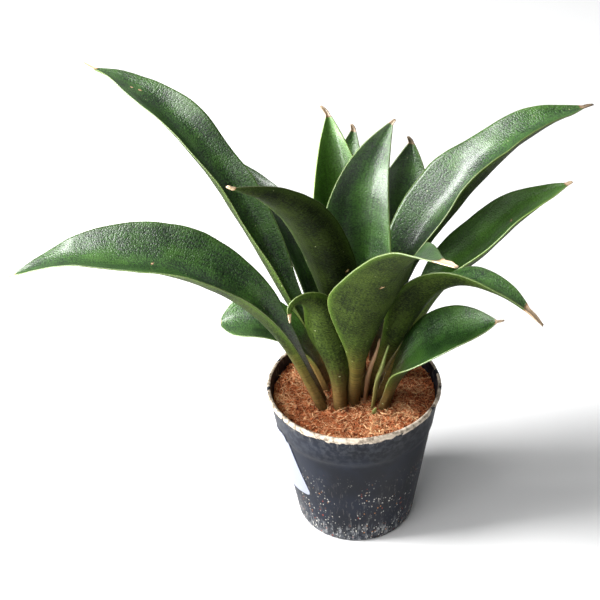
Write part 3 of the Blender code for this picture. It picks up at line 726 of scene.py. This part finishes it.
def leaf(name, spec, materials, slot, rows, columns):
    """A leaf: a grid laid on its upper face, rippled, then thickened on the under side, with a
    material for each side."""
    obj, row, column = grid(rows, columns)
    shares = np.linspace(0, 1, rows + 1)
    across = np.linspace(-1, 1, columns + 1)
    across = np.sign(across) * np.abs(across) ** 0.9
    centre, side, upper, length = along_spine(spec, shares)
    reach, point, hook, rise, burnt = spec.get("point", POINT)
    spur = min(0.2, reach / length)
    turn = np.radians(stops(spec["roll"], shares))[:, None]
    side, upper = (np.cos(turn) * side + np.sin(turn) * upper,
                   np.cos(turn) * upper - np.sin(turn) * side)
    fold = np.radians(stops(spec["fold"], shares))[:, None]
    width = half_width(spec, shares, spur, point)[:, None]
    aside, up = section(fold, across[None, :])
    points = (centre[:, None] + side[:, None] * (aside * width)[..., None]
              + upper[:, None] * (up * width)[..., None])

    bent = np.clip((shares - 1 + spur * 1.4) / max(spur * 1.4, 1e-6), 0, 1)[:, None, None] ** 2
    points += bent * (side * hook + upper * rise)[:, None]
    blade = smooth(shares, spec["flare"], spec["widest"]) * (1 - smooth(shares, 0.9, 1.0))
    seed = sum(map(ord, name)) % 97
    wave = spec.get("wave", 0.0)
    run = shares * length
    for sign in (-1, 1):
        margin = np.clip(across * sign, 0, 1) ** 2.5
        lift = wave * (np.sin(run / LONG_WAVE + seed + sign)
                       + 0.6 * np.sin(run / SHORT_WAVE + 2 * seed))
        points += upper[:, None] * ((lift * blade)[:, None] * margin)[..., None]
    flat = points[row, column]
    swell = rough_field(flat + seed * 13.0, SWELL_SIZE, 2) * SWELL * blade[row]
    flat = flat + upper[row] * swell[:, None]
    set_points(obj, flat)

    thick = leaf_thickness(spec, shares[row], across[column])
    group = obj.vertex_groups.new(name="thickness")
    for index, value in enumerate(thick):
        group.add([index], float(value / STALK_THICK), "REPLACE")
    skin = obj.data.uv_layers.new(name="skin")
    corners = np.empty(len(obj.data.loops), int)
    obj.data.loops.foreach_get("vertex_index", corners)
    lie = np.stack([run[row], across[column] * width[row, 0]], 1) * MM + seed * 0.37
    skin.data.foreach_set("uv", lie[corners].ravel())
    edge = (1 - np.abs(across[column])) * width[row, 0]
    dead = smooth(shares[row], 1 - spur * 1.5, 1 - spur * 0.9)
    set_attribute(obj, "burnt", dead * burnt)
    for where, sideways, radius in spec.get("dry", []):
        away = np.hypot((shares[row] - where) * length,
                        (across[column] - sideways) * width[row, 0])
        dead = np.maximum(dead, 1 - smooth(away, radius * 0.4, radius * 1.3))
    set_attribute(obj, "share", shares[row])
    set_attribute(obj, "edge", edge)
    set_attribute(obj, "stalk", 1 - smooth(shares[row], spec["flare"], spec["flare"] + 0.16))
    set_attribute(obj, "dry", dead)
    set_attribute(obj, "tone", np.full(len(row), spec.get("tone", 0.0)))
    for material in materials:
        obj.data.materials.append(material)
    shell = obj.modifiers.new("thickness", "SOLIDIFY")
    shell.thickness = STALK_THICK * MM
    shell.offset = -1.0
    shell.material_offset = len(materials) - 1
    shell.vertex_group = "thickness"
    shell.thickness_vertex_group = 0.0
    apply_modifiers(obj)
    obj.vertex_groups.clear()
    obj.data.shade_smooth()
    return settle(obj, name + "_skin", None, slot, name)


# ---- pot ------------------------------------------------------------------------------------
OUTSIDE = [
    (39.6, 0.0), (41.4, 0.7), (POT_FOOT_RADIUS, 2.6), (BODY_TOP_RADIUS, COLLAR_BOTTOM),
    (COLLAR_RADIUS, COLLAR_BOTTOM + 1.6), (58.7, 108.2), (59.6, 108.8),
    (POT_RIM_RADIUS, 110.2), (59.5, 111.6), (58.7, POT_HEIGHT)]
INSIDE = [
    (57.9, 111.7), (57.4, 110.6), (COLLAR_RADIUS - POT_WALL, COLLAR_BOTTOM + 2.0),
    (BODY_TOP_RADIUS - POT_WALL, COLLAR_BOTTOM + 0.4), (POT_FOOT_RADIUS - POT_WALL + 0.1, 3.4),
    (39.6, 1.7)]


def radius_at(height):
    """Outside radius of the pot at a height, in mm."""
    heights = [z for _, z in OUTSIDE]
    radii = [r for r, _ in OUTSIDE]
    return np.interp(height, heights, radii)


def finer(profile, step):
    """The profile with points added so that none is further than its step from the next."""
    points = [profile[0]]
    for (r0, z0), (r1, z1) in zip(profile, profile[1:]):
        gap = step(0.5 * (z0 + z1))
        count = max(1, math.ceil(math.hypot(r1 - r0, z1 - z0) / gap))
        for i in range(1, count + 1):
            points.append((r0 + (r1 - r0) * i / count, z0 + (z1 - z0) * i / count))
    return points


def turned(profile, segments):
    """A ring extruded and scaled from point to point of a profile, closed at both ends."""
    start()
    first_radius, first_height = profile[0]
    bpy.ops.mesh.primitive_circle_add(vertices=segments, radius=first_radius * MM,
                                      fill_type="NGON", location=(0, 0, first_height * MM))
    obj = bpy.context.object
    bpy.ops.object.transform_apply(location=True)
    bpy.ops.object.mode_set(mode="EDIT")
    bpy.ops.mesh.select_all(action="SELECT")
    bpy.ops.mesh.delete(type="ONLY_FACE")
    bpy.ops.mesh.select_all(action="SELECT")
    for (r0, z0), (r1, z1) in zip(profile, profile[1:]):
        bpy.ops.mesh.extrude_region_move(TRANSFORM_OT_translate=dict(value=(0, 0, (z1 - z0) * MM)))
        bpy.ops.transform.resize(value=(r1 / r0, r1 / r0, 1), center_override=(0, 0, 0))
    bpy.ops.mesh.edge_face_add()
    bpy.ops.mesh.select_all(action="DESELECT")
    bpy.ops.object.mode_set(mode="OBJECT")
    for edge in obj.data.edges:
        edge.select = all(abs(obj.data.vertices[v].co.z - first_height * MM) < 1e-7
                          and abs(Vector(obj.data.vertices[v].co.xy).length
                                  - first_radius * MM) < 1e-6 for v in edge.vertices)
    bpy.ops.object.mode_set(mode="EDIT")
    bpy.ops.mesh.edge_face_add()
    bpy.ops.mesh.select_all(action="SELECT")
    bpy.ops.mesh.normals_make_consistent(inside=False)
    bpy.ops.object.mode_set(mode="OBJECT")
    return obj


def pot_shell():
    """The pot, with its drain holes and a raised lime crust round the rim."""
    profile = finer(OUTSIDE + INSIDE, lambda z: RIM_STEP if z > RIM_ZONE else BODY_STEP)
    obj = turned(profile, POT_SEGMENTS)
    for index in range(DRAIN_HOLES):
        angle = 2 * math.pi * index / DRAIN_HOLES
        start()
        bpy.ops.mesh.primitive_cylinder_add(
            vertices=40, radius=DRAIN_RADIUS * MM, depth=8 * MM,
            location=(DRAIN_CIRCLE * MM * math.cos(angle), DRAIN_CIRCLE * MM * math.sin(angle), 0))
        drill = bpy.context.object
        cut = obj.modifiers.new("drain", "BOOLEAN")
        cut.operation = "DIFFERENCE"
        cut.solver = "EXACT"
        cut.object = drill
        apply_modifiers(obj)
        bpy.data.objects.remove(drill, do_unlink=True)
    points = points_of(obj)
    radius = np.hypot(points[:, 0], points[:, 1])
    angle = np.arctan2(points[:, 1], points[:, 0])
    height = points[:, 2]
    front = 0.5 - 0.5 * np.sin(angle)
    lumps = rough_field(points, 7.0, 3)
    drop = 2.0 * front + 0.5 + 2.4 * lumps
    outside = radius > np.interp(height, [COLLAR_BOTTOM, POT_HEIGHT], [54.6, 58.2])
    cover = np.where(outside, smooth(height, CRUST_TOP - drop - 1.2, CRUST_TOP - drop + 1.2),
                     smooth(height, 110.8, 111.6))
    cover *= 0.2 + 0.8 * smooth(rough_field(points + 40.0, 11.0, 3) + 0.8 * front, -0.1, 0.35)
    lift = cover * (0.22 + 0.18 * rough_field(points, 2.2, 2)) * (height > RIM_ZONE)
    outward = np.stack([np.cos(angle), np.sin(angle), np.zeros(len(angle))], 1)
    points = points + outward * (lift * outside)[:, None]
    points[:, 2] += lift * smooth(height, 110.5, 111.8) * 0.8
    set_points(obj, points)
    set_attribute(obj, "crust", cover)
    start()
    obj.select_set(True)
    bpy.context.view_layer.objects.active = obj
    bpy.ops.object.shade_smooth_by_angle(angle=math.radians(SHARP_EDGE))
    return settle(obj, "pot_shell", pot_paint(), "pot_plastic", "pot")


def label():
    """The sticker, its corners rounded, wrapped on the body of the pot."""
    obj, row, column = grid(LABEL_COLUMNS, LABEL_ROWS)
    across = row / LABEL_COLUMNS * 2 - 1
    up = column / LABEL_ROWS * 2 - 1
    a = across * LABEL_WIDTH / 2
    b = up * LABEL_HEIGHT / 2
    inner_a = LABEL_WIDTH / 2 - LABEL_CORNER
    inner_b = LABEL_HEIGHT / 2 - LABEL_CORNER
    over_a = np.maximum(np.abs(a) - inner_a, 0)
    over_b = np.maximum(np.abs(b) - inner_b, 0)
    shrink = np.maximum(over_a, over_b) / np.maximum(np.hypot(over_a, over_b), 1e-9)
    shrink = np.where(np.minimum(over_a, over_b) > 0, shrink, 1.0)
    a = np.sign(a) * (np.minimum(np.abs(a), inner_a) + over_a * shrink)
    b = np.sign(b) * (np.minimum(np.abs(b), inner_b) + over_b * shrink)
    tilt = math.radians(LABEL_TILT)
    height = LABEL_MIDDLE + b * math.cos(tilt) - a * math.sin(tilt)
    along = a * math.cos(tilt) + b * math.sin(tilt)
    radius = radius_at(height) + LABEL_LIFT
    angle = math.radians(LABEL_HEADING) + along / radius
    set_points(obj, np.stack([radius * np.cos(angle), radius * np.sin(angle), height], 1))
    shell = obj.modifiers.new("thickness", "SOLIDIFY")
    shell.thickness = LABEL_THICK * MM
    shell.offset = 1.0
    apply_modifiers(obj)
    obj.data.shade_smooth()
    return settle(obj, "pot_label_sticker", label_paint(), "label_paper", "pot_label")


# ---- coir -----------------------------------------------------------------------------------
def bed_height(x, y):
    """Height of the lumpy top of the coir, in mm."""
    radius = np.hypot(x, y)
    dome = np.interp(radius, [0, 22, 40, 54.6, POT_RIM_RADIUS],
                     [SOIL_CENTRE, SOIL_CENTRE - 0.4, SOIL_EDGE + 1.5, SOIL_EDGE, SOIL_EDGE - 0.4])
    points = np.stack([x, y, np.zeros(len(x))], 1)
    return (dome + 1.3 * rough_field(points, 15.0, 2) + 1.25 * rough_field(points + 31, 5.2, 2)
            + 0.5 * rough_field(points + 77, 1.6, 2))


def coir_bed():
    """The body of the fill: a square grid drawn into a disc, with its wall extruded down."""
    obj, row, column = grid(BED_CELLS, BED_CELLS)
    u = row / BED_CELLS * 2 - 1
    v = column / BED_CELLS * 2 - 1
    x = u * np.sqrt(1 - v * v / 2) * SOIL_RADIUS
    y = v * np.sqrt(1 - u * u / 2) * SOIL_RADIUS
    height = bed_height(x, y)
    set_points(obj, np.stack([x, y, height], 1))
    tone = 0.35 + 0.5 * rough_field(np.stack([x, y, height], 1), 2.4, 2)
    set_attribute(obj, "tone", tone)
    obj.data.shade_smooth()
    bpy.ops.object.mode_set(mode="EDIT")
    bpy.ops.mesh.select_all(action="SELECT")
    bpy.ops.mesh.region_to_loop()
    bpy.ops.mesh.extrude_region_move(TRANSFORM_OT_translate=dict(value=(0, 0, -BED_DEPTH * MM)))
    bpy.ops.transform.resize(value=(0.975, 0.975, 1), center_override=(0, 0, 0))
    bpy.ops.mesh.edge_face_add()
    bpy.ops.mesh.select_all(action="SELECT")
    bpy.ops.mesh.normals_make_consistent(inside=False)
    bpy.ops.object.mode_set(mode="OBJECT")
    paint = coir_paint("coir_bed", srgb(44, 17, 9), srgb(236, 172, 116))
    return settle(obj, "coir_bed", paint, "coir", "potting_mix")


def strands(name, count, lengths, radii, lift, tones, seed, material, reach=FIBRE_REACH):
    """Many short bent fibres, three-sided and closed, lying on the bed."""
    rng = np.random.default_rng(seed)
    rings = 5
    around = rng.uniform(0, 2 * math.pi, count)
    radius = reach * np.sqrt(rng.uniform(0, 1, count))
    x, y = radius * np.cos(around), radius * np.sin(around)
    z = bed_height(x, y)
    heading = rng.uniform(0, 2 * math.pi, count)
    pitch = rng.normal(0.05, lift, count)
    length = rng.uniform(*lengths, count)
    thick = rng.uniform(*radii, count)
    bend = rng.normal(0, 0.5, count)
    arch = rng.normal(0.15, 0.35, count)
    along = np.stack([np.cos(heading) * np.cos(pitch), np.sin(heading) * np.cos(pitch),
                      np.sin(pitch)], 1)
    aside = np.stack([-np.sin(heading), np.cos(heading), np.zeros(count)], 1)
    above = np.cross(along, aside)
    middle = np.stack([x, y, z + 0.15 + thick + np.abs(np.sin(pitch)) * length * 0.35], 1)
    verts = np.empty((count, rings, 3, 3))
    for ring in range(rings):
        t = ring / (rings - 1) * 2 - 1
        spot = (middle + along * (t * length / 2)[:, None]
                + aside * ((t * t - 0.4) * bend * length / 4)[:, None]
                - above * ((t * t - 0.3) * arch * length / 4)[:, None])
        narrow = thick * (1 - 0.55 * t * t)
        for corner in range(3):
            a = 2 * math.pi * corner / 3
            verts[:, ring, corner] = (spot + aside * (narrow * math.cos(a))[:, None]
                                      + above * (narrow * math.sin(a))[:, None])
    flat = verts.reshape(-1, 3)
    far = np.hypot(flat[:, 0], flat[:, 1])
    pull = np.minimum(1.0, WALL_REACH / np.maximum(far, 1e-6))
    flat[:, :2] *= pull[:, None]
    faces = []
    for ring in range(rings - 1):
        for corner in range(3):
            other = (corner + 1) % 3
            faces.append((ring * 3 + corner, ring * 3 + other, ring * 3 + 3 + other,
                          ring * 3 + 3 + corner))
    last = (rings - 1) * 3
    sides = np.array(faces)
    caps = np.array([(2, 1, 0), (last, last + 1, last + 2)])
    base = (np.arange(count) * rings * 3)[:, None, None]
    quads = (sides[None] + base).reshape(-1, 4)
    tris = (caps[None] + base).reshape(-1, 3)
    obj = new_mesh(name, flat, quads.tolist() + tris.tolist())
    tone = np.clip(rng.normal(*tones, count), 0, 1)
    set_attribute(obj, "tone", np.repeat(tone, rings * 3))
    return settle(obj, name, material, "coir")


def loose(name, paths, thick, tone, material):
    """Single long fibres or roots: curves bevelled round, closed at their ends."""
    start()
    data = bpy.data.curves.new(name, "CURVE")
    data.dimensions = "3D"
    data.bevel_depth = thick * MM
    data.bevel_resolution = 2
    data.resolution_u = 10
    data.use_fill_caps = True
    for path in paths:
        spline = data.splines.new("NURBS")
        spline.points.add(len(path) - 1)
        for point, (x, y, above) in zip(spline.points, path):
            height = float(bed_height(np.array([x]), np.array([y]))[0]) + above
            point.co = (x * MM, y * MM, height * MM, 1.0)
        spline.order_u = 4
        spline.use_endpoint_u = True
    obj = bpy.data.objects.new(name, data)
    bpy.context.scene.collection.objects.link(obj)
    bpy.context.view_layer.objects.active = obj
    obj.select_set(True)
    bpy.ops.object.convert(target="MESH")
    obj = bpy.context.object
    set_attribute(obj, "tone", np.full(len(obj.data.vertices), tone))
    obj.data.shade_smooth()
    return settle(obj, name, material, "coir")


def crumbs(name, count, sizes, seed, material):
    """Bits of pith: one small ball, squashed and turned for each copy."""
    start()
    bpy.ops.mesh.primitive_ico_sphere_add(subdivisions=1, radius=1.0)
    ball = bpy.context.object
    shape = np.array([v.co for v in ball.data.vertices])
    tris = np.array([p.vertices for p in ball.data.polygons])
    bpy.data.objects.remove(ball, do_unlink=True)
    rng = np.random.default_rng(seed)
    around = rng.uniform(0, 2 * math.pi, count)
    radius = CRUMB_REACH * np.sqrt(rng.uniform(0, 1, count))
    x, y = radius * np.cos(around), radius * np.sin(around)
    z = bed_height(x, y)
    size = rng.uniform(*sizes, count)
    stretch = rng.uniform(0.5, 1.5, (count, 1, 3))
    jolt = rng.uniform(0.75, 1.25, (count, len(shape), 1))
    points = shape[None] * jolt * stretch * size[:, None, None]
    turn = rng.normal(size=(count, 3, 3))
    turn = np.linalg.qr(turn)[0]
    turn *= np.sign(np.linalg.det(turn))[:, None, None]
    points = points @ turn
    points += np.stack([x, y, z + size * 0.35], 1)[:, None]
    faces = (tris[None] + (np.arange(count) * len(shape))[:, None, None]).reshape(-1, 3)
    obj = new_mesh(name, points.reshape(-1, 3), faces.tolist())
    tone = np.clip(rng.normal(0.42, 0.2, count), 0, 1)
    set_attribute(obj, "tone", np.repeat(tone, len(shape)))
    return settle(obj, name, material, "coir")


# ---- making ---------------------------------------------------------------------------------
def softbox(name, azimuth, height, distance, width, tallness, power):
    """A rectangular lamp aimed at the plant."""
    azimuth, height = math.radians(azimuth), math.radians(height)
    toward = Vector((math.cos(azimuth) * math.cos(height), math.sin(azimuth) * math.cos(height),
                     math.sin(height)))
    lamp = bpy.data.lights.new(name, "AREA")
    lamp.shape = "RECTANGLE"
    lamp.size = width
    lamp.size_y = tallness
    lamp.energy = power
    box = bpy.data.objects.new(name, lamp)
    box.location = Vector(LIGHT_AIM) + toward * distance
    box.rotation_euler = toward.to_track_quat("Z", "Y").to_euler()
    bpy.context.scene.collection.objects.link(box)


def studio():
    """Camera, soft lamps at the left, a sky brighter behind the plant, and a pale floor."""
    pitch, yaw, roll = (math.radians(a) for a in (CAMERA_PITCH, CAMERA_YAW, CAMERA_ROLL))
    ahead = Vector((math.sin(yaw) * math.cos(pitch), math.cos(yaw) * math.cos(pitch),
                    -math.sin(pitch)))
    level = ahead.cross(Vector((0, 0, 1))).normalized()
    above = level.cross(ahead)
    right = math.cos(roll) * level + math.sin(roll) * above
    top = -math.sin(roll) * level + math.cos(roll) * above
    data = bpy.data.cameras.new("camera")
    data.lens = CAMERA_LENS
    data.sensor_width = SENSOR
    camera = bpy.data.objects.new("camera", data)
    turn = Matrix((right, top, -ahead)).transposed().to_4x4()
    camera.matrix_world = Matrix.Translation(CAMERA_PLACE) @ turn
    bpy.context.scene.collection.objects.link(camera)
    bpy.context.scene.camera = camera

    softbox("key", *KEY_LIGHT)
    softbox("side", *SIDE_LIGHT)
    softbox("front", *FRONT_LIGHT)

    world = bpy.data.worlds.new("sky")
    world.use_nodes = True
    sky = Nodes(world.node_tree)
    way = sky.node("ShaderNodeTexCoord", {}, {}, "Generated")
    facing = sky.node("ShaderNodeVectorMath", dict(operation="DOT_PRODUCT"),
                      {0: way, 1: Vector(BACKDROP).normalized()}, "Value")
    background = world.node_tree.nodes["Background"]
    background.inputs["Color"].default_value = (0.97, 0.985, 1.0, 1.0)
    sky.plug(background.inputs["Strength"],
             facing.between(-0.25, 0.85) * (SKY_HIGH - SKY_LOW) + SKY_LOW)
    bpy.context.scene.world = world
    bpy.context.scene.view_settings.view_transform = "Standard"

    start()
    bpy.ops.mesh.primitive_circle_add(vertices=64, radius=FLOOR_RADIUS, fill_type="NGON")
    floor = bpy.context.object
    floor.name = "floor"
    floor.data.materials.append(floor_paint())


studio()
skins = [leaf_skin("leaf_upper", False), leaf_skin("leaf_under", True)]
for name, spec in LEAVES.items():
    leaf(name, spec, skins, "leaf_green", LEAF_ROWS, LEAF_COLUMNS)
dry_scale = scale_paint("dry_scale", srgb(120, 84, 56), srgb(200, 160, 122))
green_scale = scale_paint("green_scale", srgb(122, 112, 58), srgb(134, 150, 84))
for name, spec in SHEATHS.items():
    fresh = name in ("sheath_green", "shoot_young")
    leaf(name, spec, [green_scale if fresh else dry_scale],
         "green_shoot" if fresh else "dry_sheath", SHEATH_ROWS, SHEATH_COLUMNS)
pot_shell()
label()
coir_bed()
fibre = coir_paint("coir_fibre", srgb(66, 27, 14), srgb(250, 212, 160))
strands("coir_fibres_short", count=5600, lengths=(2.0, 6.0), radii=(0.16, 0.40), lift=0.40,
        tones=(0.48, 0.26), seed=3, material=fibre)
strands("coir_fibres_long", count=1100, lengths=(7.0, 18.0), radii=(0.08, 0.16), lift=0.25,
        tones=(0.68, 0.2), seed=5, material=fibre, reach=50.0)
crumbs("coir_crumbs", count=4800, sizes=(0.35, 0.95), seed=9, material=fibre)
loose("coir_fibres_loose", LOOSE_FIBRES, thick=0.22, tone=0.85, material=fibre)
loose("root_loops", ROOT_LOOPS, thick=0.45, tone=0.7, material=fibre)
